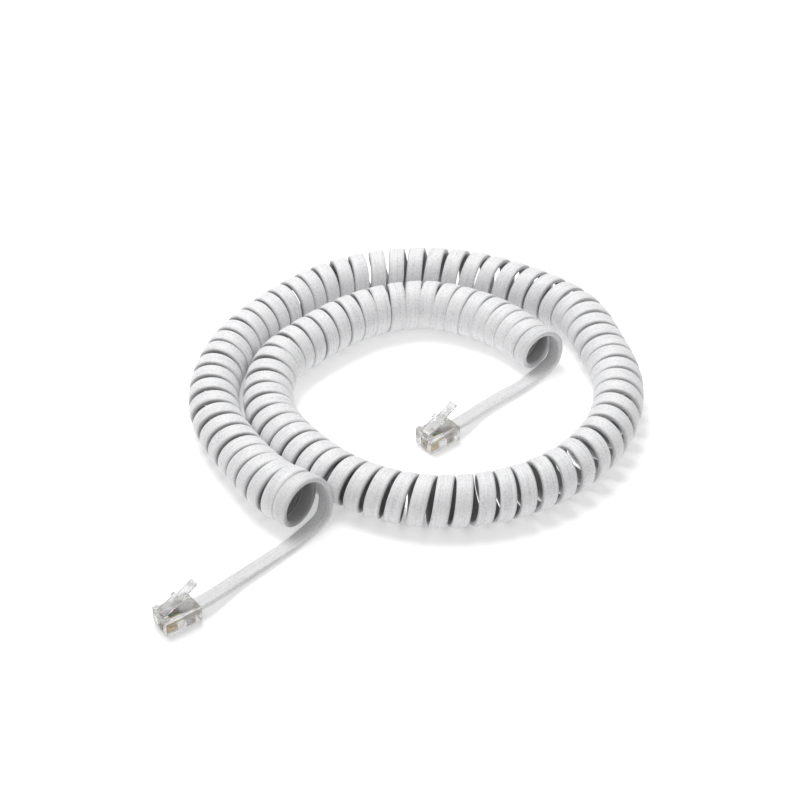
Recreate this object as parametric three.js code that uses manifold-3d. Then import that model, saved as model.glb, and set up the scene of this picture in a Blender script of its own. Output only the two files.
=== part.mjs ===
// Coiled telephone handset cord: a flat cord wound into a left-handed coil that
// lies on a table in a spiral, with a clear 4-position modular plug at each end.
// Units are millimetres, +Z is up, the table is z = 0 and the origin is the
// centre of the footprint.
import * as THREE from 'three';
import { mergeVertices } from 'three/addons/utils/BufferGeometryUtils.js';
import Module from 'manifold-3d';

const wasm = await Module();
wasm.setup();

// Coil and cord
const COIL_OD = 16.6;
const COIL_SIDES = 12;
const COIL_STEPS = 64;
const CORD_WIDTH = 5.0;
const CORD_THICK = 1.9;
const CORD_CORNER = 0.5;
const TIGHT_PITCH = 5.2;
const LAST_TURN_START = THREE.MathUtils.degToRad(40);
const LAST_TURN_END = Math.PI;
const LAST_TURN_CLEAR = 2.9;
const LAST_TURN_POINTS = 6;
const OPENING_POWER = 1.5;
const TAIL_STEPS = 48;
const FLOOR_LIFT = 0.05;

// Plug body: length along the nose, width, and height
const PLUG_LENGTH = 12.2;
const PLUG_WIDTH = 7.65;
const NOSE_HEIGHT = 6.6;
const BODY_HEIGHT = 5.9;
const NOSE_BAR_START = 10.5;
const EDGE_CHAMFER = 0.35;
const CORD_HEIGHT_IN_PLUG = 3.4;
const PLUG_EXIT_STRAIGHT = 3;
const JACKET_DEPTH = 5.6;
const JACKET_CLEARANCE = 0.2;

// Contacts and conductors
const POSITIONS = 4;
const CONTACT_PITCH = 1.02;
const CONTACT_THICK = 0.32;
const CONTACT_SLOT = 0.46;
const CONTACT_CLEARANCE = 0.1;
const CONTACT_REAR = 7.9;
const CONTACT_FRONT = 11.4;
const CONTACT_BOTTOM = 0.5;
const CONTACT_SHOULDER = 2.1;
const CONTACT_TIP = 2.88;
const WIRE_DIAMETER = 0.9;
const WIRE_CLEARANCE = 0.1;
const WIRE_START = 5.95;
const WIRE_END = 11.1;
const WIRE_CHAMBER_END = 11.4;

// Strain-relief wedge, pressed up from the underside
const WEDGE_START = 1.9;
const WEDGE_END = 4.9;
const WEDGE_WIDTH = 4.6;
const WEDGE_BOTTOM = 0.25;
const WEDGE_REAR_HEIGHT = 1.1;
const WEDGE_CLEARANCE = 0.2;

// Latch lever
const LATCH_PIVOT_U = 11.35;
const LATCH_PIVOT_Z = 6.4;
const LATCH_ROOT_RADIUS = 0.4;
const LATCH_ARM_LENGTH = 7.0;
const LATCH_ARM_WIDTH = 3.9;
const LATCH_SHOULDER_START = 5.5;
const LATCH_SHOULDER_WIDTH = 5.0;
const LATCH_SHOULDER_HEIGHT = 1.1;
const LATCH_HANDLE_LENGTH = 6.4;
const LATCH_HANDLE_OVERLAP = 0.8;
const LATCH_HANDLE_WIDTH = 2.8;
const LATCH_RAISE_DEG = 25;
const LATCH_HANDLE_BEND_DEG = 6;
const LATCH_POCKET_WIDTH = 4.5;
const LATCH_POCKET_FLOOR = 5.4;
const LATCH_POCKET_END = 11.95;

const CUT = 1;

// Where each plug lies: centre of its rear face on the table, and the way its
// nose points, in degrees from +X
const PLUG_A = { x: -63.9, y: -81.7, nose: 216 };
const PLUG_B = { x: 13.5, y: 2.8, nose: 219 };

// How far the cord has parted from each end of the coil by the time it reaches the table
const OPENING_A = 3.7;
const OPENING_B = 1.0;

// Centre line of the coil seen from above, from plug A's end to plug B's end
const COIL_ROUTE = [
  [-36.1, -39.2], [-42.6, -33.7], [-51.6, -20.7], [-62.1, 0.3], [-63.6, 20.3],
  [-57.6, 40.8], [-44.6, 59.3], [-27.6, 74.8], [-5.6, 82.8], [17.4, 82.3],
  [39.4, 72.8], [56.9, 57.8], [63.9, 38.8], [67.9, 18.8], [63.9, -3.7],
  [50.4, -23.7], [29.9, -36.7], [6.4, -40.2], [-16.1, -32.7], [-33.6, -16.7],
  [-45.1, 3.8], [-44.1, 27.8], [-31.1, 45.3], [-13.6, 58.8], [5.4, 63.3],
  [24.9, 56.3], [35.4, 47.8], [40.9, 41.3],
];

// Points between each plug and its end of the coil: (x, y, lift off the table)
const TAIL_A_FLOOR = [[-52.6, -69.2, 0.7], [-43.8, -59.9, 0.4], [-35.4, -50.9, 0.25]];
const TAIL_B_FLOOR = [[22.4, 13.3, 0.7], [30.4, 21.1, 0.4], [37.9, 28.1, 0.25]];

const group = new THREE.Group();
group.name = 'coiled_handset_cord';

const MATERIALS = {
  cord: { color: 0xe9e9ea, roughness: 0.45 },
  clear: { color: 0xe8ecec, roughness: 0.1, transparent: true, opacity: 0.4 },
  gold: { color: 0xd9b45a, roughness: 0.25, metalness: 1 },
  black: { color: 0x1c1c1c, roughness: 0.5 },
  red: { color: 0xb3201c, roughness: 0.5 },
  green: { color: 0x2c7a3a, roughness: 0.5 },
  yellow: { color: 0xd8b42a, roughness: 0.5 },
};

function addMesh(name, geometry, look) {
  geometry.deleteAttribute('uv');
  geometry.computeVertexNormals();
  const mesh = new THREE.Mesh(geometry, new THREE.MeshStandardMaterial(MATERIALS[look]));
  mesh.name = name;
  group.add(mesh);
}

function toManifold(geometry) {
  geometry.deleteAttribute('uv');
  geometry.deleteAttribute('normal');
  const merged = mergeVertices(geometry);
  return new wasm.Manifold(new wasm.Mesh({
    numProp: 3,
    vertProperties: merged.attributes.position.array,
    triVerts: new Uint32Array(merged.index.array),
  }));
}

function fromManifold(solid) {
  const mesh = solid.getMesh();
  const geometry = new THREE.BufferGeometry();
  geometry.setAttribute('position', new THREE.BufferAttribute(mesh.vertProperties, 3));
  geometry.setIndex(new THREE.BufferAttribute(mesh.triVerts, 1));
  return geometry;
}

// A block between two corners
function block(low, high) {
  const size = high.map((value, i) => value - low[i]);
  const box = new THREE.BoxGeometry(...size);
  box.translate(...low.map((value, i) => value + size[i] / 2));
  return box;
}

// A side profile in (along, up), extruded across the plug's width, centred
function sideProfile(points, width) {
  const shape = new THREE.Shape(points.map(([u, z]) => new THREE.Vector2(u, z)));
  const solid = new THREE.ExtrudeGeometry(shape, { depth: width, bevelEnabled: false });
  solid.translate(0, 0, -width / 2);
  solid.rotateX(Math.PI / 2);
  return solid;
}

// The flat cord's section: thin across the first axis, wide across the second
function cordSection() {
  const t = CORD_THICK / 2;
  const w = CORD_WIDTH / 2;
  const c = CORD_CORNER;
  const outline = [
    [t, w - c], [t - c, w], [c - t, w], [-t, w - c],
    [-t, c - w], [c - t, -w], [t - c, -w], [t, c - w],
  ];
  return new THREE.Shape(outline.map(([x, y]) => new THREE.Vector2(x, y)));
}

// The coil's section, with flats facing down, up and sideways
function coilSection() {
  const radius = COIL_OD / 2 / Math.cos(Math.PI / COIL_SIDES);
  const points = [];
  for (let i = 0; i < COIL_SIDES; i += 1) {
    const angle = ((i + 0.5) / COIL_SIDES) * 2 * Math.PI;
    points.push(new THREE.Vector2(radius * Math.cos(angle), radius * Math.sin(angle)));
  }
  return new THREE.Shape(points);
}

// A curve that keeps the flat cord's thin side facing down along the table and facing
// away from the coil's axis round the last turn
class FlatCordPath extends THREE.CatmullRomCurve3 {
  constructor(points, axisPoint, outward, turnSide) {
    super(points, false, 'centripetal');
    this.axisPoint = axisPoint;
    this.outward = outward;
    this.turnSide = turnSide;
  }

  thinDirection(position) {
    const offset = position.clone().sub(this.axisPoint);
    if (offset.dot(this.turnSide) < 0 && offset.z < 0) {
      return new THREE.Vector3(0, 0, -1);
    }
    return offset.addScaledVector(this.outward, -offset.dot(this.outward));
  }

  computeFrenetFrames(steps) {
    const tangents = [];
    const normals = [];
    const binormals = [];
    for (let i = 0; i <= steps; i += 1) {
      const tangent = this.getTangentAt(i / steps);
      const normal = this.thinDirection(this.getPointAt(i / steps));
      normal.addScaledVector(tangent, -normal.dot(tangent)).normalize();
      tangents.push(tangent);
      normals.push(normal);
      binormals.push(new THREE.Vector3().crossVectors(tangent, normal));
    }
    return { tangents, normals, binormals };
  }
}

function sweep(path, section, steps) {
  return new THREE.ExtrudeGeometry(section, { steps, extrudePath: path, bevelEnabled: false });
}

function plugPoint(plug, along, height) {
  const angle = THREE.MathUtils.degToRad(plug.nose);
  return new THREE.Vector3(
    plug.x + along * Math.cos(angle),
    plug.y + along * Math.sin(angle),
    height,
  );
}

// A tail runs out of its plug, drops to the table and climbs round the coil's end to its
// top, parted from it by opening at the foot. outward points out of the coil's end along
// its axis. Both ends climb on the same hand seen from outside, so the coil is
// left-handed.
function tailPath(plug, floorPoints, coilEnd, outward, opening) {
  const turnSide = new THREE.Vector3(-outward.y, outward.x, 0);
  const floorZ = CORD_THICK / 2;
  const turnRadius = coilEnd.z - floorZ - FLOOR_LIFT;
  const points = [JACKET_DEPTH, JACKET_DEPTH / 2, 0, -PLUG_EXIT_STRAIGHT].map(
    (along) => plugPoint(plug, along, CORD_HEIGHT_IN_PLUG),
  );
  floorPoints.forEach(([x, y, lift]) => points.push(new THREE.Vector3(x, y, floorZ + lift)));
  for (let i = 0; i <= LAST_TURN_POINTS; i += 1) {
    const climbed = i / LAST_TURN_POINTS;
    const angle = LAST_TURN_START + climbed * (LAST_TURN_END - LAST_TURN_START);
    const remaining = 1 - angle / LAST_TURN_END;
    const along = LAST_TURN_CLEAR
      + (TIGHT_PITCH * remaining) / 2
      + opening * remaining ** OPENING_POWER;
    const point = coilEnd.clone().addScaledVector(outward, along);
    point.addScaledVector(turnSide, turnRadius * Math.sin(angle));
    point.z -= turnRadius * Math.cos(angle);
    points.push(point);
  }
  return new FlatCordPath(points, coilEnd, outward, turnSide);
}

// Coil and tails
const coilPath = new THREE.CatmullRomCurve3(
  COIL_ROUTE.map(([x, y]) => new THREE.Vector3(x, y, COIL_OD / 2)),
  false,
  'centripetal',
);
const outwardA = coilPath.getTangent(0).negate();
const outwardB = coilPath.getTangent(1);
const tailA = tailPath(PLUG_A, TAIL_A_FLOOR, coilPath.getPoint(0), outwardA, OPENING_A);
const tailB = tailPath(PLUG_B, TAIL_B_FLOOR, coilPath.getPoint(1), outwardB, OPENING_B);
addMesh('coil', sweep(coilPath, coilSection(), COIL_STEPS), 'cord');
addMesh('cord_tail_a', sweep(tailA, cordSection(), TAIL_STEPS), 'cord');
addMesh('cord_tail_b', sweep(tailB, cordSection(), TAIL_STEPS), 'cord');

// Plug pieces are built in the plug's own frame: +X towards the nose from the rear
// face, +Y across, +Z up with the contacts underneath
function housing() {
  const c = EDGE_CHAMFER;
  const body = toManifold(sideProfile([
    [c, 0], [PLUG_LENGTH - 2 * c, 0], [PLUG_LENGTH, 2 * c], [PLUG_LENGTH, NOSE_HEIGHT],
    [NOSE_BAR_START, NOSE_HEIGHT], [NOSE_BAR_START - c, BODY_HEIGHT],
    [c, BODY_HEIGHT], [0, BODY_HEIGHT - c], [0, c],
  ], PLUG_WIDTH));
  const jacketHalfWidth = CORD_WIDTH / 2 + JACKET_CLEARANCE;
  const jacketHalfHeight = CORD_THICK / 2 + JACKET_CLEARANCE;
  const chamberHalfWidth = (POSITIONS * CONTACT_PITCH) / 2;
  const chamberHalfHeight = WIRE_DIAMETER / 2 + WIRE_CLEARANCE;
  const cuts = [
    block(
      [-CUT, -jacketHalfWidth, CORD_HEIGHT_IN_PLUG - jacketHalfHeight],
      [JACKET_DEPTH + JACKET_CLEARANCE, jacketHalfWidth, CORD_HEIGHT_IN_PLUG + jacketHalfHeight],
    ),
    block(
      [JACKET_DEPTH, -chamberHalfWidth, CORD_HEIGHT_IN_PLUG - chamberHalfHeight],
      [WIRE_CHAMBER_END, chamberHalfWidth, CORD_HEIGHT_IN_PLUG + chamberHalfHeight],
    ),
    block(
      [WEDGE_START, -WEDGE_WIDTH / 2 - WEDGE_CLEARANCE, -CUT],
      [WEDGE_END, WEDGE_WIDTH / 2 + WEDGE_CLEARANCE, CORD_HEIGHT_IN_PLUG],
    ),
    block(
      [NOSE_BAR_START - c, -LATCH_POCKET_WIDTH / 2, LATCH_POCKET_FLOOR],
      [LATCH_POCKET_END, LATCH_POCKET_WIDTH / 2, NOSE_HEIGHT + CUT],
    ),
  ];
  for (let i = 0; i < POSITIONS; i += 1) {
    const y = contactY(i);
    cuts.push(block(
      [CONTACT_REAR - CONTACT_CLEARANCE, y - CONTACT_SLOT / 2, -CUT],
      [PLUG_LENGTH + CUT, y + CONTACT_SLOT / 2, CORD_HEIGHT_IN_PLUG],
    ));
  }
  return fromManifold(cuts.reduce((solid, cut) => solid.subtract(toManifold(cut)), body));
}

function contactY(index) {
  return (index - (POSITIONS - 1) / 2) * CONTACT_PITCH;
}

// A contact blade with two piercing teeth on its upper edge
function contact(index) {
  const length = CONTACT_FRONT - CONTACT_REAR;
  const tooth = length / 4;
  const blade = sideProfile([
    [CONTACT_REAR, CONTACT_BOTTOM], [CONTACT_FRONT, CONTACT_BOTTOM],
    [CONTACT_FRONT, CONTACT_SHOULDER], [CONTACT_FRONT - tooth / 2, CONTACT_TIP],
    [CONTACT_FRONT - tooth, CONTACT_SHOULDER], [CONTACT_REAR + tooth, CONTACT_SHOULDER],
    [CONTACT_REAR + tooth / 2, CONTACT_TIP], [CONTACT_REAR, CONTACT_SHOULDER],
  ], CONTACT_THICK);
  return blade.translate(0, contactY(index), 0);
}

function wire(index) {
  const length = WIRE_END - WIRE_START;
  const rod = new THREE.CylinderGeometry(WIRE_DIAMETER / 2, WIRE_DIAMETER / 2, length, 16);
  rod.rotateZ(Math.PI / 2);
  return rod.translate(WIRE_START + length / 2, contactY(index), CORD_HEIGHT_IN_PLUG);
}

function wedge() {
  const c = WEDGE_CLEARANCE;
  const top = CORD_HEIGHT_IN_PLUG - CORD_THICK / 2 - c;
  return sideProfile([
    [WEDGE_START + c, WEDGE_BOTTOM], [WEDGE_END - c, WEDGE_BOTTOM], [WEDGE_END - c, top],
    [WEDGE_END - 4 * c, top], [WEDGE_START + c, WEDGE_BOTTOM + WEDGE_REAR_HEIGHT],
  ], WEDGE_WIDTH);
}

// The lever is drawn lying flat behind its pivot, then raised about the pivot
function latch() {
  const half = LATCH_ROOT_RADIUS;
  const armOutline = new THREE.Shape();
  armOutline.moveTo(0, -half);
  armOutline.absarc(0, 0, half, -Math.PI / 2, Math.PI / 2, false);
  armOutline.lineTo(-LATCH_ARM_LENGTH, half);
  armOutline.lineTo(-LATCH_ARM_LENGTH, -half);
  const arm = new THREE.ExtrudeGeometry(armOutline, {
    depth: LATCH_ARM_WIDTH,
    bevelEnabled: false,
    curveSegments: 12,
  });
  arm.translate(0, 0, -LATCH_ARM_WIDTH / 2);
  arm.rotateX(Math.PI / 2);
  const shoulders = block(
    [-LATCH_ARM_LENGTH, -LATCH_SHOULDER_WIDTH / 2, -half],
    [-LATCH_SHOULDER_START, LATCH_SHOULDER_WIDTH / 2, LATCH_SHOULDER_HEIGHT - half],
  );
  const handle = block(
    [-LATCH_HANDLE_LENGTH, -LATCH_HANDLE_WIDTH / 2, -half],
    [LATCH_HANDLE_OVERLAP, LATCH_HANDLE_WIDTH / 2, half],
  );
  handle.rotateY(THREE.MathUtils.degToRad(LATCH_HANDLE_BEND_DEG));
  handle.translate(-LATCH_ARM_LENGTH, 0, 0);
  const solid = toManifold(arm).add(toManifold(shoulders)).add(toManifold(handle));
  const lever = fromManifold(solid);
  lever.rotateY(THREE.MathUtils.degToRad(LATCH_RAISE_DEG));
  return lever.translate(LATCH_PIVOT_U, 0, LATCH_PIVOT_Z);
}

function addPlugPiece(name, geometry, plug, look) {
  geometry.rotateZ(THREE.MathUtils.degToRad(plug.nose));
  geometry.translate(plug.x, plug.y, 0);
  addMesh(name, geometry, look);
}

const WIRE_COLOURS = ['black', 'red', 'green', 'yellow'];
[['plug_a', PLUG_A], ['plug_b', PLUG_B]].forEach(([prefix, plug]) => {
  addPlugPiece(`${prefix}_housing`, housing(), plug, 'clear');
  addPlugPiece(`${prefix}_latch`, latch(), plug, 'clear');
  addPlugPiece(`${prefix}_wedge`, wedge(), plug, 'clear');
  WIRE_COLOURS.forEach((colour, i) => {
    addPlugPiece(`${prefix}_contact_${i + 1}`, contact(i), plug, 'gold');
    addPlugPiece(`${prefix}_wire_${i + 1}`, wire(i), plug, colour);
  });
});

export default group;
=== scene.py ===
import math

import bmesh
import bpy
import numpy as np
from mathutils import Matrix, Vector


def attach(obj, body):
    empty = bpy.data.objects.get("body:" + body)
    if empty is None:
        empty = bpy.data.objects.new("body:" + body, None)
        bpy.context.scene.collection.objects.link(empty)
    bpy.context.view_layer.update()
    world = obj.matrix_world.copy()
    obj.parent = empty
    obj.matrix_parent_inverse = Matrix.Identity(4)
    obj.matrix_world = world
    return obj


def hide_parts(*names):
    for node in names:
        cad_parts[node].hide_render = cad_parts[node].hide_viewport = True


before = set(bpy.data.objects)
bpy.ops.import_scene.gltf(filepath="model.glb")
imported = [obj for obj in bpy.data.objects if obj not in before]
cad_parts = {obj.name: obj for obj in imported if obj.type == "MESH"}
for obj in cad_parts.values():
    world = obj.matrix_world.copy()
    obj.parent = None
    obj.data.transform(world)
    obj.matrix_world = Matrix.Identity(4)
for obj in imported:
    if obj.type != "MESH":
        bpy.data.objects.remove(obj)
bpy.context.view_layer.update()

MM = 0.001

# ---------------------------------------------------------------- dimensions, mm
COIL_OD = 16.6
CORD_WIDTH = 5.0
CORD_THICK = 1.9
FLOOR_LIFT = 0.05

# the loose end A and the tight end B, and how far in from each the coil is round and even
END_A_RADIUS = 9.3
END_B_RADIUS = 7.8
END_A_STRETCH = 26
END_B_STRETCH = 24

# the last half turn at each end, which opens as it comes down to the table
TIGHT_PITCH = 5.2
LAST_TURN_CLEAR = 2.9
LAST_TURN_START = math.radians(40)
OPENING_POWER = 1.5
OPENING_A = 3.7
OPENING_B = 1.0

# slow wandering of the turns along the coil: (size, radians a turn, phase)
WANDER = ((0.12, 1.93, 0.4), (0.10, 3.71, 2.1))
WANDER_FREE_TURNS = 2.5
WANDER_FADE_TURNS = 3.0

# where heat-setting has spread the jacket, by distance from the cord's ends
SPREAD = 0.06
SPREAD_START = 200.0
SPREAD_FULL = 320.0

# where the loose ends' painted shade gives way to the coil's, and how strong it is
LOOSE_END = 62.0
LOOSE_FADE = 60.0
# strength of the even painted shade on the loose ends
TAIL_SHADE = 0.22
# how far in from the edges the painted shade on the inner face is full
SHADE_EDGE = 0.4

# mesh fineness
RINGS_PER_TURN = 36
SECTION_POINTS = 24
SECTION_ROUNDNESS = 0.5
AXIS_SAMPLES = 6000
AXIS_STEPS = 60
TAIL_CURVE_STEPS = 24
TAIL_STEP = 0.8

CORD_HEIGHT_IN_PLUG = 3.4
JACKET_DEPTH = 5.6
PLUG_EXIT_STRAIGHT = 3.0

# each plug's rear face on the table, and the way its nose points, in degrees from +X
PLUG_A = (-63.9, -81.7, 216.0)
PLUG_B = (13.5, 2.8, 219.0)

# roundings of the moulded and stamped edges, and what counts as flat and as an edge
SHELL_EDGE = 0.07
LEVER_EDGE = 0.09
CLAMP_EDGE = 0.06
METAL_EDGE = 0.05
FLAT_ANGLE = math.radians(2)
EDGE_ANGLE = math.radians(28)
WELD_DISTANCE = 0.002

# centre line of the coil seen from above, and the points where the tails lie: (x, y, lift)
COIL_ROUTE = [
    (-36.1, -39.2), (-42.6, -33.7), (-51.6, -20.7), (-62.1, 0.3), (-63.6, 20.3),
    (-57.6, 40.8), (-44.6, 59.3), (-27.6, 74.8), (-5.6, 82.8), (17.4, 82.3),
    (39.4, 72.8), (56.9, 57.8), (63.9, 38.8), (67.9, 18.8), (63.9, -3.7),
    (50.4, -23.7), (29.9, -36.7), (6.4, -40.2), (-16.1, -32.7), (-33.6, -16.7),
    (-45.1, 3.8), (-44.1, 27.8), (-31.1, 45.3), (-13.6, 58.8), (5.4, 63.3),
    (24.9, 56.3), (35.4, 47.8), (40.9, 41.3),
]
TAIL_A_FLOOR = [(-52.6, -69.2, 0.7), (-43.8, -59.9, 0.4), (-35.4, -50.9, 0.25)]
TAIL_B_FLOOR = [(22.4, 13.3, 0.7), (30.4, 21.1, 0.4), (37.9, 28.1, 0.25)]

# how far apart the turns lie: (distance along the coil, pitch)
PITCHES = [
    (0, 5.2), (9, 5.2), (22, 6.3), (55, 6.7), (90, 6.2), (120, 6.2), (145, 6.7),
    (170, 7.0), (230, 6.9), (262, 6.1), (295, 7.1), (320, 7.2), (340, 6.3),
    (400, 6.2), (430, 5.7), (450, 6.5), (480, 6.2), (545, 5.8), (558, 5.2), (568, 5.2),
]

# ---------------------------------------------------------------- camera, metres
TARGET = Vector((-3.4, 21.0, 0.0)) * MM
DISTANCE = 0.780
ELEVATION = math.radians(38.0)
FIELD_OF_VIEW = math.radians(19.23)

# ---------------------------------------------------------------- light, metres and watts
TABLE_GLOW = 0.26
TABLE_HALF = 3.0
KEY_POWER = 9.0
KEY_SIZE = 0.7
KEY_PLACE = (-0.25, 0.45, 1.1)
SKY_STRENGTH = 0.62


def make_camera():
    data = bpy.data.cameras.new("camera")
    data.sensor_width = 36.0
    data.angle = FIELD_OF_VIEW
    data.clip_start = 0.01
    data.clip_end = 20.0
    camera = bpy.data.objects.new("camera", data)
    bpy.context.scene.collection.objects.link(camera)
    offset = Vector((0, -math.cos(ELEVATION), math.sin(ELEVATION))) * DISTANCE
    camera.location = TARGET + offset
    camera.rotation_euler = (-offset).to_track_quat("-Z", "Y").to_euler()
    bpy.context.scene.camera = camera


make_camera()


# ---------------------------------------------------------------- node helpers
def new_material(name):
    material = bpy.data.materials.new(name)
    material.use_nodes = True
    tree = material.node_tree
    return material, tree.nodes, tree.links, tree.nodes["Principled BSDF"]


def add_node(nodes, kind, **settings):
    node = nodes.new(kind)
    for key, value in settings.items():
        if key.startswith("in_"):
            node.inputs[key[3:].replace("_", " ")].default_value = value
        else:
            setattr(node, key, value)
    return node


def colour_ramp(nodes, stops):
    ramp = nodes.new("ShaderNodeValToRGB")
    elements = ramp.color_ramp.elements
    elements[0].position, elements[0].color = stops[0]
    elements[1].position, elements[1].color = stops[-1]
    for position, colour in stops[1:-1]:
        element = elements.new(position)
        element.color = colour
    return ramp


def value_range(nodes, low, high):
    node = nodes.new("ShaderNodeMapRange")
    node.inputs["To Min"].default_value = low
    node.inputs["To Max"].default_value = high
    return node


def maths_node(nodes, links, operation, first, second=None):
    """A maths node on one socket, and on a second socket or a number."""
    node = add_node(nodes, "ShaderNodeMath", operation=operation)
    links.new(first, node.inputs[0])
    if isinstance(second, float):
        node.inputs[1].default_value = second
    elif second is not None:
        links.new(second, node.inputs[1])
    return node.outputs[0]


def fade_between(nodes, links, socket, start, end, low, high):
    """Runs from low to high as the socket's value runs from start to end."""
    fade = value_range(nodes, low, high)
    fade.inputs["From Min"].default_value = start
    fade.inputs["From Max"].default_value = end
    links.new(socket, fade.inputs["Value"])
    return fade.outputs["Result"]


# ---------------------------------------------------------------- materials
def cord_painted_shade(nodes, links, uv, route_length, section_length):
    """Painted shade on the inner face and edges inside the coil, and an even, fainter painted shade
    on the loose ends.
    """
    split = nodes.new("ShaderNodeSeparateXYZ")
    links.new(uv, split.inputs["Vector"])
    around = maths_node(nodes, links, "SUBTRACT", split.outputs["Y"], section_length / 2)
    from_inner = maths_node(nodes, links, "ABSOLUTE", around)
    # painted shade on the inner face and edges, darkening the gaps between the turns
    shade_full = CORD_WIDTH / 2 - SHADE_EDGE
    shade_gone = CORD_WIDTH / 2 + CORD_THICK / 2
    inner = fade_between(nodes, links, from_inner, shade_full, shade_gone, 1.0, 0.0)
    lengthwise = maths_node(nodes, links, "SUBTRACT", split.outputs["X"], route_length / 2)
    from_middle = maths_node(nodes, links, "ABSOLUTE", lengthwise)
    coil_end = route_length / 2 - LOOSE_END - LOOSE_FADE
    loose_start = route_length / 2 - LOOSE_END
    coiled = fade_between(nodes, links, from_middle, coil_end, loose_start, 1.0, 0.0)
    # even painted shade on the loose ends
    tail_shade = fade_between(nodes, links, from_middle, coil_end, loose_start, 0.0, TAIL_SHADE)
    inner_shade = maths_node(nodes, links, "MULTIPLY", inner, coiled)
    return maths_node(nodes, links, "ADD", inner_shade, tail_shade)


def cord_material(route_length, section_length):
    """Satin white jacket with streaks along the cord. Its inner face and edges inside the coil
    are darkened with painted shade, and its loose ends with a fainter, even painted shade."""
    material, nodes, links, shader = new_material("cord_jacket")
    coords = nodes.new("ShaderNodeTexCoord")
    stretch = add_node(nodes, "ShaderNodeMapping")
    stretch.inputs["Scale"].default_value = (0.035, 1.25, 1.0)
    links.new(coords.outputs["UV"], stretch.inputs["Vector"])
    streaks = add_node(nodes, "ShaderNodeTexNoise", in_Scale=1.6, in_Detail=5.0, in_Roughness=0.65)
    links.new(stretch.outputs["Vector"], streaks.inputs["Vector"])
    mottle = add_node(nodes, "ShaderNodeTexNoise", in_Scale=1500.0, in_Detail=4.0, in_Roughness=0.7)
    links.new(coords.outputs["Object"], mottle.inputs["Vector"])
    mix = add_node(nodes, "ShaderNodeMix", data_type="FLOAT")
    mix.inputs[0].default_value = 0.5
    links.new(streaks.outputs["Fac"], mix.inputs[2])
    links.new(mottle.outputs["Fac"], mix.inputs[3])
    jacket = colour_ramp(nodes, [
        (0.37, (0.63, 0.63, 0.65, 1)),
        (0.48, (0.83, 0.83, 0.84, 1)),
        (0.60, (0.93, 0.93, 0.93, 1)),
    ])
    links.new(mix.outputs[0], jacket.inputs["Fac"])
    painted_shade = cord_painted_shade(nodes, links, coords.outputs["UV"], route_length, section_length)
    # the painted shade mixes a grey into the jacket colour
    shaded_jacket = add_node(nodes, "ShaderNodeMix", data_type="RGBA")
    links.new(painted_shade, shaded_jacket.inputs[0])
    links.new(jacket.outputs["Color"], shaded_jacket.inputs[6])
    shaded_jacket.inputs[7].default_value = (0.36, 0.36, 0.36, 1)
    links.new(shaded_jacket.outputs[2], shader.inputs["Base Color"])
    rough = value_range(nodes, 0.36, 0.56)
    links.new(streaks.outputs["Fac"], rough.inputs["Value"])
    links.new(rough.outputs["Result"], shader.inputs["Roughness"])
    # fine pitting of the moulded skin, on top of the streaks
    grain = add_node(nodes, "ShaderNodeTexNoise", in_Scale=1400.0, in_Detail=3.0)
    links.new(coords.outputs["Object"], grain.inputs["Vector"])
    streak_bump = add_node(nodes, "ShaderNodeBump", in_Strength=0.8, in_Distance=0.0002)
    links.new(streaks.outputs["Fac"], streak_bump.inputs["Height"])
    grain_bump = add_node(nodes, "ShaderNodeBump", in_Strength=0.5, in_Distance=0.0001)
    links.new(grain.outputs["Fac"], grain_bump.inputs["Height"])
    links.new(streak_bump.outputs["Normal"], grain_bump.inputs["Normal"])
    links.new(grain_bump.outputs["Normal"], shader.inputs["Normal"])
    shader.inputs["IOR"].default_value = 1.5
    shader.inputs["Specular IOR Level"].default_value = 0.35
    return material


def clear_material(name, clearness, stained):
    """Clear moulded polycarbonate with faint flow marks, a little hazy from handling."""
    material, nodes, links, shader = new_material(name)
    coords = nodes.new("ShaderNodeTexCoord")
    flow = add_node(nodes, "ShaderNodeTexNoise", in_Scale=420.0, in_Detail=3.0)
    links.new(coords.outputs["Object"], flow.inputs["Vector"])
    tint = colour_ramp(nodes, [
        (0.32, (*stained, 1)),
        (0.52, (0.92, 0.925, 0.92, 1)),
        (0.7, (0.97, 0.975, 0.97, 1)),
    ])
    links.new(flow.outputs["Fac"], tint.inputs["Fac"])
    links.new(tint.outputs["Color"], shader.inputs["Base Color"])
    rough = value_range(nodes, 0.05, 0.22)
    links.new(flow.outputs["Fac"], rough.inputs["Value"])
    links.new(rough.outputs["Result"], shader.inputs["Roughness"])
    bump = add_node(nodes, "ShaderNodeBump", in_Strength=0.15, in_Distance=0.0001)
    links.new(flow.outputs["Fac"], bump.inputs["Height"])
    links.new(bump.outputs["Normal"], shader.inputs["Normal"])
    shader.inputs["IOR"].default_value = 1.55
    shader.inputs["Transmission Weight"].default_value = clearness
    return material


def gold_material():
    """Gold-plated bronze, stamped, with a slight sheared grain."""
    material, nodes, links, shader = new_material("contact_gold")
    coords = nodes.new("ShaderNodeTexCoord")
    grain = add_node(nodes, "ShaderNodeTexNoise", in_Scale=1500.0, in_Detail=4.0)
    links.new(coords.outputs["Object"], grain.inputs["Vector"])
    tint = colour_ramp(nodes, [
        (0.3, (0.72, 0.47, 0.16, 1)),
        (0.7, (0.90, 0.66, 0.28, 1)),
    ])
    links.new(grain.outputs["Fac"], tint.inputs["Fac"])
    links.new(tint.outputs["Color"], shader.inputs["Base Color"])
    rough = value_range(nodes, 0.16, 0.34)
    links.new(grain.outputs["Fac"], rough.inputs["Value"])
    links.new(rough.outputs["Result"], shader.inputs["Roughness"])
    bump = add_node(nodes, "ShaderNodeBump", in_Strength=0.15, in_Distance=0.00002)
    links.new(grain.outputs["Fac"], bump.inputs["Height"])
    links.new(bump.outputs["Normal"], shader.inputs["Normal"])
    shader.inputs["Metallic"].default_value = 1.0
    return material


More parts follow.
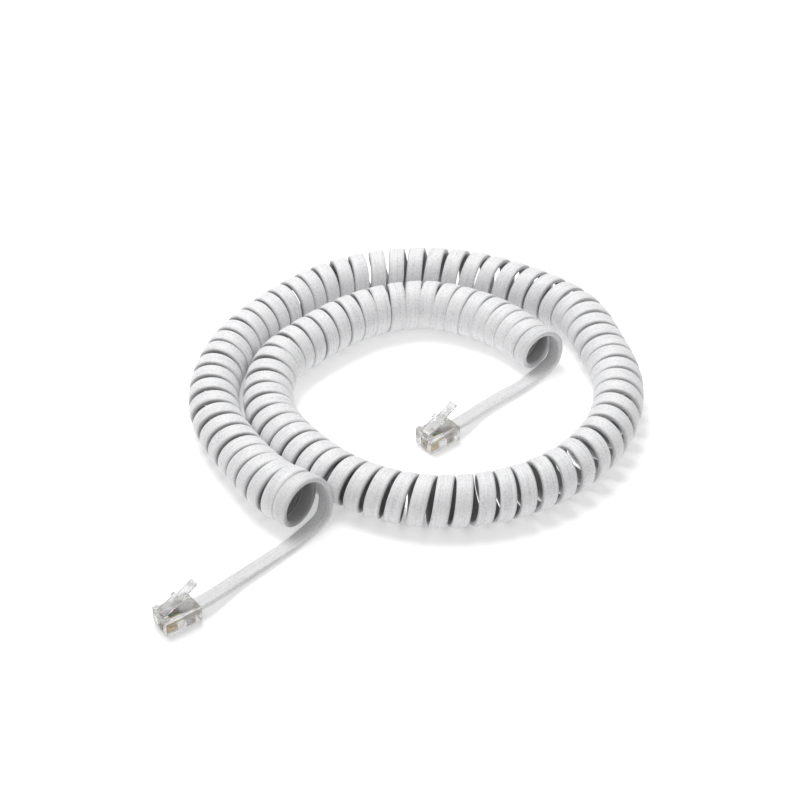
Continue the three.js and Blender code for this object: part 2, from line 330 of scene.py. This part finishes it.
def wire_material(name, dark, light):
    """Coloured insulation with a soft drawn finish."""
    material, nodes, links, shader = new_material(name)
    coords = nodes.new("ShaderNodeTexCoord")
    noise = add_node(nodes, "ShaderNodeTexNoise", in_Scale=900.0, in_Detail=3.0)
    links.new(coords.outputs["Object"], noise.inputs["Vector"])
    tint = colour_ramp(nodes, [(0.3, (*dark, 1)), (0.7, (*light, 1))])
    links.new(noise.outputs["Fac"], tint.inputs["Fac"])
    links.new(tint.outputs["Color"], shader.inputs["Base Color"])
    rough = value_range(nodes, 0.35, 0.55)
    links.new(noise.outputs["Fac"], rough.inputs["Value"])
    links.new(rough.outputs["Result"], shader.inputs["Roughness"])
    return material


def floor_material():
    """A white light table, so that the shadows on it stay faint."""
    material, nodes, links, shader = new_material("floor_white")
    coords = nodes.new("ShaderNodeTexCoord")
    noise = add_node(nodes, "ShaderNodeTexNoise", in_Scale=6.0, in_Detail=3.0)
    links.new(coords.outputs["Object"], noise.inputs["Vector"])
    tint = colour_ramp(nodes, [(0.3, (0.93, 0.93, 0.93, 1)), (0.7, (0.95, 0.95, 0.95, 1))])
    links.new(noise.outputs["Fac"], tint.inputs["Fac"])
    links.new(tint.outputs["Color"], shader.inputs["Base Color"])
    shader.inputs["Roughness"].default_value = 0.7
    shader.inputs["Specular IOR Level"].default_value = 0.2
    shader.inputs["Emission Color"].default_value = (1.0, 1.0, 1.0, 1)
    shader.inputs["Emission Strength"].default_value = TABLE_GLOW
    return material


CLEAR = clear_material("clear_plastic", 0.88, (0.66, 0.61, 0.54))
LEVER = clear_material("clear_lever", 0.72, (0.60, 0.59, 0.58))
GOLD = gold_material()
WIRES = {
    "black": wire_material("wire_black", (0.012, 0.012, 0.013), (0.035, 0.035, 0.037)),
    "red": wire_material("wire_red", (0.40, 0.015, 0.012), (0.62, 0.04, 0.03)),
    "green": wire_material("wire_green", (0.02, 0.20, 0.06), (0.05, 0.34, 0.11)),
    "yellow": wire_material("wire_yellow", (0.70, 0.50, 0.03), (0.88, 0.68, 0.08)),
}


# ---------------------------------------------------------------- curves
def curve_points(points, per_segment):
    """Points on the centripetal Catmull-Rom curve through the given ones."""
    p = [np.array(q, float) for q in points]
    p = [2 * p[0] - p[1]] + p + [2 * p[-1] - p[-2]]
    out = []
    for i in range(1, len(p) - 2):
        d = [np.linalg.norm(p[i + j] - p[i + j - 1]) ** 0.5 for j in range(3)]
        t1 = (p[i] - p[i - 1]) / d[0] - (p[i + 1] - p[i - 1]) / (d[0] + d[1])
        t1 = (t1 + (p[i + 1] - p[i]) / d[1]) * d[1]
        t2 = (p[i + 1] - p[i]) / d[1] - (p[i + 2] - p[i]) / (d[1] + d[2])
        t2 = (t2 + (p[i + 2] - p[i + 1]) / d[2]) * d[1]
        for k in range(per_segment):
            t = k / per_segment
            c2 = -3 * p[i] + 3 * p[i + 1] - 2 * t1 - t2
            c3 = 2 * p[i] - 2 * p[i + 1] + t1 + t2
            out.append(p[i] + t1 * t + c2 * t * t + c3 * t**3)
    out.append(p[-2])
    return np.array(out)


def lengths_along(points):
    """Distance from the first point to each point."""
    return np.r_[0, np.cumsum(np.linalg.norm(np.diff(points, axis=0), axis=1))]


def plug_point(plug, along, height):
    """A point on a plug's middle plane, so far towards the nose from its rear face."""
    angle = math.radians(plug[2])
    return (plug[0] + along * math.cos(angle), plug[1] + along * math.sin(angle), height)


class CoilAxis:
    """The coil's centre line, running on straight past both ends."""

    def __init__(self):
        radius = COIL_OD / 2
        self.points = curve_points([(x, y, radius) for x, y in COIL_ROUTE], AXIS_STEPS)
        self.along = lengths_along(self.points)
        self.length = self.along[-1]
        tangents = np.gradient(self.points, self.along, axis=0)
        tangents /= np.linalg.norm(tangents, axis=1)[:, None]
        self.tangents = tangents

    def at(self, s):
        inside = np.clip(s, 0, self.length)
        point = np.array([np.interp(inside, self.along, self.points[:, k]) for k in range(3)])
        tangent = np.array([np.interp(inside, self.along, self.tangents[:, k]) for k in range(3)])
        tangent /= np.linalg.norm(tangent, axis=0)
        return (point + tangent * (s - inside)).T, tangent.T


AXIS = CoilAxis()


def wind_turns():
    """The turn angle at each distance along the axis, from one end's top to the other's."""
    along = np.linspace(-LAST_TURN_CLEAR, AXIS.length + LAST_TURN_CLEAR, AXIS_SAMPLES)
    pitch = np.interp(along, *np.array(PITCHES, float).T)
    turns = np.r_[0, np.cumsum(np.diff(along) * 2 / (pitch[1:] + pitch[:-1]))]
    whole = round(turns[-1])
    return along, math.pi + 2 * math.pi * turns * whole / turns[-1], whole + 1


WOUND_ALONG, WOUND_ANGLE, TURNS = wind_turns()


def parting(angles, opening):
    """How far past the end of the coil the cord lies on its last half turn."""
    left = np.clip(1 - angles / math.pi, 0, 1)
    return LAST_TURN_CLEAR + TIGHT_PITCH * left / 2 + opening * left**OPENING_POWER


def turn_positions(angles):
    """Distance along the coil's axis at each turn angle, past both ends too."""
    total = TURNS * 2 * math.pi
    out = np.interp(angles, WOUND_ANGLE, WOUND_ALONG)
    out = np.where(angles < math.pi, -parting(angles, OPENING_A), out)
    end = AXIS.length + parting(total - angles, OPENING_B)
    return np.where(angles > total - math.pi, end, out)


def unevenness(angles):
    """Slow wandering of the turns, none of it at the two ends."""
    turn = angles / (2 * math.pi)
    wander = sum(size * np.sin(rate * turn + phase) for size, rate, phase in WANDER)
    from_end = np.minimum(turn, TURNS - turn)
    fade = np.clip((from_end - WANDER_FREE_TURNS) / WANDER_FADE_TURNS, 0, 1)
    return wander * fade


def coil_radius(along):
    """The coil is a little loose at one end and tight at the other."""
    stations = (0, END_A_STRETCH, AXIS.length - END_B_STRETCH, AXIS.length)
    radii = (END_A_RADIUS, COIL_OD / 2, COIL_OD / 2, END_B_RADIUS)
    return np.interp(along, stations, radii)


def coil_path():
    """The helix of the coil, and the direction from its axis to each point."""
    count = TURNS * RINGS_PER_TURN
    angles = np.linspace(LAST_TURN_START, TURNS * 2 * math.pi - LAST_TURN_START, count + 1)
    along = turn_positions(angles) + unevenness(angles)
    centre, tangent = AXIS.at(along)
    side = np.stack([tangent[:, 1], -tangent[:, 0], 0 * tangent[:, 0]], 1)
    up = np.array([0, 0, 1.0])
    radius = coil_radius(along)
    centre[:, 2] = radius
    radial = side * np.sin(angles)[:, None] - up * np.cos(angles)[:, None]
    return centre + radial * (radius - CORD_THICK / 2 - FLOOR_LIFT)[:, None], radial


def tail_path(plug, floor_points, turn_points):
    """From inside the plug to where the coil's last turn comes down, in even steps."""
    start = [
        plug_point(plug, along, CORD_HEIGHT_IN_PLUG)
        for along in (JACKET_DEPTH, JACKET_DEPTH / 2, 0, -PLUG_EXIT_STRAIGHT)
    ]
    floor = [(x, y, CORD_THICK / 2 + lift) for x, y, lift in floor_points]
    ahead = [tuple(q) for q in turn_points]
    dense = curve_points(start + floor + ahead, TAIL_CURVE_STEPS)
    dense = dense[: (len(start) + len(floor)) * TAIL_CURVE_STEPS + 1]
    along = lengths_along(dense)
    steps = int(along[-1] / TAIL_STEP)
    samples = np.linspace(0, along[-1], steps + 1)[:-1]
    return np.array([np.interp(samples, along, dense[:, k]) for k in range(3)]).T


def tail_thin_side(points, end, radius):
    """Down along the table, then away from the coil's axis as the cord climbs."""
    centre, tangent = AXIS.at(np.array([end]))
    outward = tangent[0] * (1 if end > 0 else -1)
    climb_side = np.array([-outward[1], outward[0], 0])
    offset = points - np.array([centre[0][0], centre[0][1], radius])
    radial = offset - outward * (offset @ outward)[:, None]
    on_table = (offset @ climb_side)[:, None] < 0
    return np.where(on_table, np.array([0, 0, -1.0]), radial)


def cord_route():
    """The cord's whole centre line from plug A to plug B, with its thin direction."""
    coil, radial = coil_path()
    step = RINGS_PER_TURN // 8
    tail_a = tail_path(PLUG_A, TAIL_A_FLOOR, coil[0 : 3 * step : step])
    tail_b = tail_path(PLUG_B, TAIL_B_FLOOR, coil[::-1][0 : 3 * step : step])[::-1]
    thin_a = tail_thin_side(tail_a, 0.0, END_A_RADIUS)
    thin_b = tail_thin_side(tail_b, AXIS.length, END_B_RADIUS)
    path = np.vstack([tail_a, coil, tail_b])
    thin = np.vstack([thin_a, radial, thin_b])
    return path, thin


def section():
    """A flat oval with gently crowned faces: (across the thickness, across the width)."""
    points = []
    for k in range(SECTION_POINTS):
        angle = 2 * math.pi * (k + 0.5) / SECTION_POINTS
        c, s = math.cos(angle), math.sin(angle)
        x = math.copysign(abs(c) ** SECTION_ROUNDNESS, c) * CORD_THICK / 2
        y = math.copysign(abs(s) ** SECTION_ROUNDNESS, s) * CORD_WIDTH / 2
        points.append((x, y))
    return np.array(points)


def coil_flattening(along):
    """Heat-setting the coil spreads the jacket a little; its loose ends keep their width."""
    from_end = np.minimum(along, along[-1] - along)
    spread = np.clip((from_end - SPREAD_START) / (SPREAD_FULL - SPREAD_START), 0, 1)
    return 1 + SPREAD * spread


def sweep_mesh(name, path, thin, outline):
    """A closed mesh of the outline carried along the path, its thin way along thin."""
    along = lengths_along(path)
    tangent = np.gradient(path, axis=0)
    tangent /= np.linalg.norm(tangent, axis=1)[:, None]
    normal = thin - tangent * np.sum(thin * tangent, axis=1)[:, None]
    normal /= np.linalg.norm(normal, axis=1)[:, None]
    across = np.cross(tangent, normal)
    rings, per_ring = len(path), len(outline)
    points = (
        path[:, None, :]
        + normal[:, None, :] * outline[None, :, 0, None]
        + across[:, None, :]
        * outline[None, :, 1, None]
        * coil_flattening(along)[:, None, None]
    )
    vertices = (points.reshape(-1, 3) * MM).tolist()
    faces = []
    for r in range(rings - 1):
        for k in range(per_ring):
            a, b = r * per_ring + k, r * per_ring + (k + 1) % per_ring
            faces.append((a, b, b + per_ring, a + per_ring))
    faces.append(tuple(range(per_ring - 1, -1, -1)))
    faces.append(tuple((rings - 1) * per_ring + k for k in range(per_ring)))
    mesh = bpy.data.meshes.new(name)
    mesh.from_pydata(vertices, [], faces)
    # UV in millimetres: along the cord, and round its section
    around = lengths_along(np.vstack([outline, outline[:1]]))
    uv = mesh.uv_layers.new(name="UVMap")
    flat = []
    for r in range(rings - 1):
        for k in range(per_ring):
            flat += [
                along[r], around[k], along[r], around[k + 1],
                along[r + 1], around[k + 1], along[r + 1], around[k],
            ]
    flat += [0.0] * (4 * per_ring)
    uv.data.foreach_set("uv", flat)
    mesh.polygons.foreach_set("use_smooth", [True] * len(mesh.polygons))
    obj = bpy.data.objects.new(name, mesh)
    bpy.context.scene.collection.objects.link(obj)
    return obj


# ---------------------------------------------------------------- the cord
route, thin_side = cord_route()
outline = section()
route_length = float(lengths_along(route)[-1])
section_length = float(lengths_along(np.vstack([outline, outline[:1]]))[-1])
cord = sweep_mesh("curly_cord", route, thin_side, outline)
cord.data.materials.append(cord_material(route_length, section_length))
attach(cord, "cord")
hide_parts("coil", "cord_tail_a", "cord_tail_b")


# ---------------------------------------------------------------- plugs
def rounded_copy(node, name, width, body):
    """A copy of a CAD node's shape with its moulded edges rounded."""
    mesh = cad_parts[node].data.copy()
    mesh.name = name
    work = bmesh.new()
    work.from_mesh(mesh)
    bmesh.ops.remove_doubles(work, verts=work.verts, dist=WELD_DISTANCE * MM)
    bmesh.ops.dissolve_limit(work, angle_limit=FLAT_ANGLE, verts=work.verts, edges=work.edges)
    work.to_mesh(mesh)
    work.free()
    obj = bpy.data.objects.new(name, mesh)
    bpy.context.scene.collection.objects.link(obj)
    bevel = obj.modifiers.new("edges", "BEVEL")
    bevel.width = width * MM
    bevel.segments = 2
    bevel.limit_method = "ANGLE"
    bevel.angle_limit = EDGE_ANGLE
    bevel.harden_normals = True
    bpy.context.view_layer.update()
    graph = bpy.context.evaluated_depsgraph_get()
    shaped = bpy.data.meshes.new_from_object(obj.evaluated_get(graph))
    obj.modifiers.clear()
    obj.data = shaped
    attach(obj, body)
    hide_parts(node)
    return obj


def dress(obj, material):
    """Gives a piece its one material."""
    obj.data.materials.clear()
    obj.data.materials.append(material)


def make_plug(letter):
    """One plug: its shell, lever and clamp, and a blade and a wire core for each conductor."""
    prefix = f"plug_{letter}"
    shell = rounded_copy(f"{prefix}_housing", f"{prefix}_shell", SHELL_EDGE, "cord")
    dress(shell, CLEAR)
    lever = rounded_copy(f"{prefix}_latch", f"{prefix}_lever", LEVER_EDGE, f"latch_{letter}")
    dress(lever, LEVER)
    clamp = rounded_copy(f"{prefix}_wedge", f"{prefix}_clamp", CLAMP_EDGE, "cord")
    dress(clamp, CLEAR)
    pieces = [shell, lever, clamp]
    for i, (colour, insulation) in enumerate(WIRES.items(), 1):
        blade = rounded_copy(f"{prefix}_contact_{i}", f"{prefix}_blade_{i}", METAL_EDGE, "cord")
        dress(blade, GOLD)
        core = rounded_copy(f"{prefix}_wire_{i}", f"{prefix}_core_{i}", METAL_EDGE, "cord")
        dress(core, insulation)
        pieces += [blade, core]
    return pieces


plug_pieces = make_plug("a") + make_plug("b")


# ---------------------------------------------------------------- floor and light
def make_floor():
    """The white table that the cord lies on."""
    mesh = bpy.data.meshes.new("floor")
    half = TABLE_HALF
    corners = [(-half, -half, 0), (half, -half, 0), (half, half, 0), (-half, half, 0)]
    mesh.from_pydata(corners, [], [(0, 1, 2, 3)])
    mesh.materials.append(floor_material())
    floor = bpy.data.objects.new("floor", mesh)
    bpy.context.scene.collection.objects.link(floor)


def area_light(name, location, target, size, power):
    data = bpy.data.lights.new(name, "AREA")
    data.shape = "DISK"
    data.size = size
    data.energy = power
    light = bpy.data.objects.new(name, data)
    bpy.context.scene.collection.objects.link(light)
    light.location = location
    aim = Vector(target) - Vector(location)
    light.rotation_euler = aim.to_track_quat("-Z", "Y").to_euler()


def make_sky():
    """A bright ceiling over darker studio walls."""
    world = bpy.data.worlds.new("studio")
    bpy.context.scene.world = world
    world.use_nodes = True
    nodes, links = world.node_tree.nodes, world.node_tree.links
    background = nodes["Background"]
    background.inputs["Strength"].default_value = SKY_STRENGTH
    direction = nodes.new("ShaderNodeTexCoord")
    height = nodes.new("ShaderNodeSeparateXYZ")
    links.new(direction.outputs["Generated"], height.inputs["Vector"])
    sky = colour_ramp(nodes, [
        (0.0, (0.10, 0.10, 0.11, 1)),
        (0.25, (0.35, 0.35, 0.36, 1)),
        (0.55, (1.0, 1.0, 1.0, 1)),
    ])
    links.new(height.outputs["Z"], sky.inputs["Fac"])
    links.new(sky.outputs["Color"], background.inputs["Color"])


make_floor()
area_light("key", KEY_PLACE, (0, 0, 0), KEY_SIZE, KEY_POWER)
make_sky()
view = bpy.context.scene.view_settings
view.view_transform = "Standard"
view.exposure = 0.0
